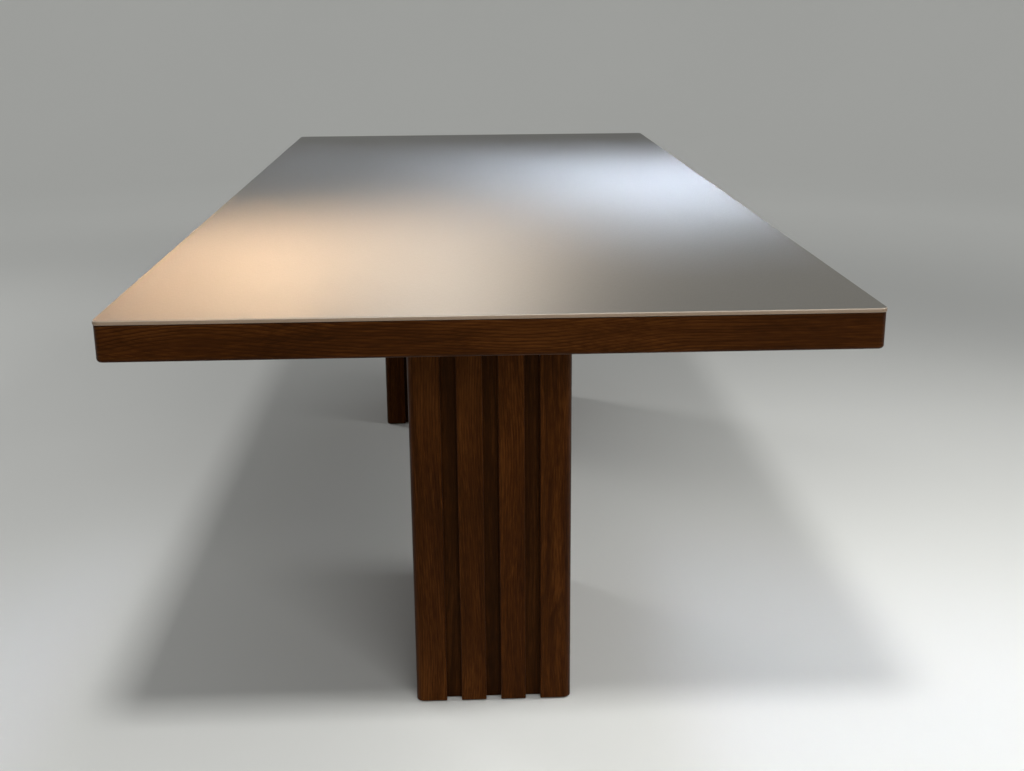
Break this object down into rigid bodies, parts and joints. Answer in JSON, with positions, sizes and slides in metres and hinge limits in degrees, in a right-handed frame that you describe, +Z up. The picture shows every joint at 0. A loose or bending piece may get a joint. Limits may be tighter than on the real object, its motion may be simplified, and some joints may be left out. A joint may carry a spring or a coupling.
{
  "type": "dining table",
  "caption": "Rectangular dining table: thin stone panel on a thick walnut slab, carried by fluted rectangular walnut pillars, one set lengthwise and one crosswise.",
  "frame": {"origin": "on the floor, below the middle of the table top", "axes": "+X across the width to the right as seen from the near end, +Y along the length from the near end to the far end, +Z up"},
  "size_m": [1.05, 2.4, 0.75],
  "materials": {
    "stone_panel": "satin",
    "silicone": "matte",
    "walnut_rail": "satin",
    "walnut_post": "satin",
    "walnut_slat": "satin",
    "walnut_board": "satin",
    "core_wood": "matte",
    "soffit_veneer": "matte",
    "black_steel": "matte",
    "zinc_steel": "satin",
    "insert_brass": "satin",
    "glide_nylon": "matte"
  },
  "bodies": {
    "root": {"deck_screws": "zinc_steel", "edge_rail_far": "walnut_rail", "edge_rail_left": "walnut_rail", "edge_rail_near": "walnut_rail", "edge_rail_right": "walnut_rail", "far_board_back": "walnut_board", "far_board_front": "walnut_board", "far_board_left": "walnut_board", "far_board_right": "walnut_board", "far_bolts": "black_steel", "far_cap_screws": "zinc_steel", "far_cleats": "core_wood", "far_foot_board": "core_wood", "far_glide_screws": "zinc_steel", "far_glides": "glide_nylon", "far_head_board": "core_wood", "far_head_plate": "black_steel", "far_inserts": "insert_brass", "far_mount_block": "core_wood", "far_post_back_left": "walnut_post", "far_post_back_right": "walnut_post", "far_post_front_left": "walnut_post", "far_post_front_right": "walnut_post", "far_slats_back": "walnut_slat", "far_slats_front": "walnut_slat", "far_slats_left": "walnut_slat", "far_slats_right": "walnut_slat", "mitre_splines": "core_wood", "near_board_back": "walnut_board", "near_board_front": "walnut_board", "near_board_left": "walnut_board", "near_board_right": "walnut_board", "near_bolts": "black_steel", "near_cap_screws": "zinc_steel", "near_cleats": "core_wood", "near_foot_board": "core_wood", "near_glide_screws": "zinc_steel", "near_glides": "glide_nylon", "near_head_board": "core_wood", "near_head_plate": "black_steel", "near_inserts": "insert_brass", "near_mount_block": "core_wood", "near_post_back_left": "walnut_post", "near_post_back_right": "walnut_post", "near_post_front_left": "walnut_post", "near_post_front_right": "walnut_post", "near_slats_back": "walnut_slat", "near_slats_front": "walnut_slat", "near_slats_left": "walnut_slat", "near_slats_right": "walnut_slat", "panel_beads": "silicone", "slab_ribs": "core_wood", "soffit_board": "soffit_veneer", "soffit_screws": "zinc_steel", "stiffener_left": "zinc_steel", "stiffener_right": "zinc_steel", "stiffener_screws": "zinc_steel", "top_deck": "core_wood", "top_panel": "stone_panel"}
  },
  "joints": []
}
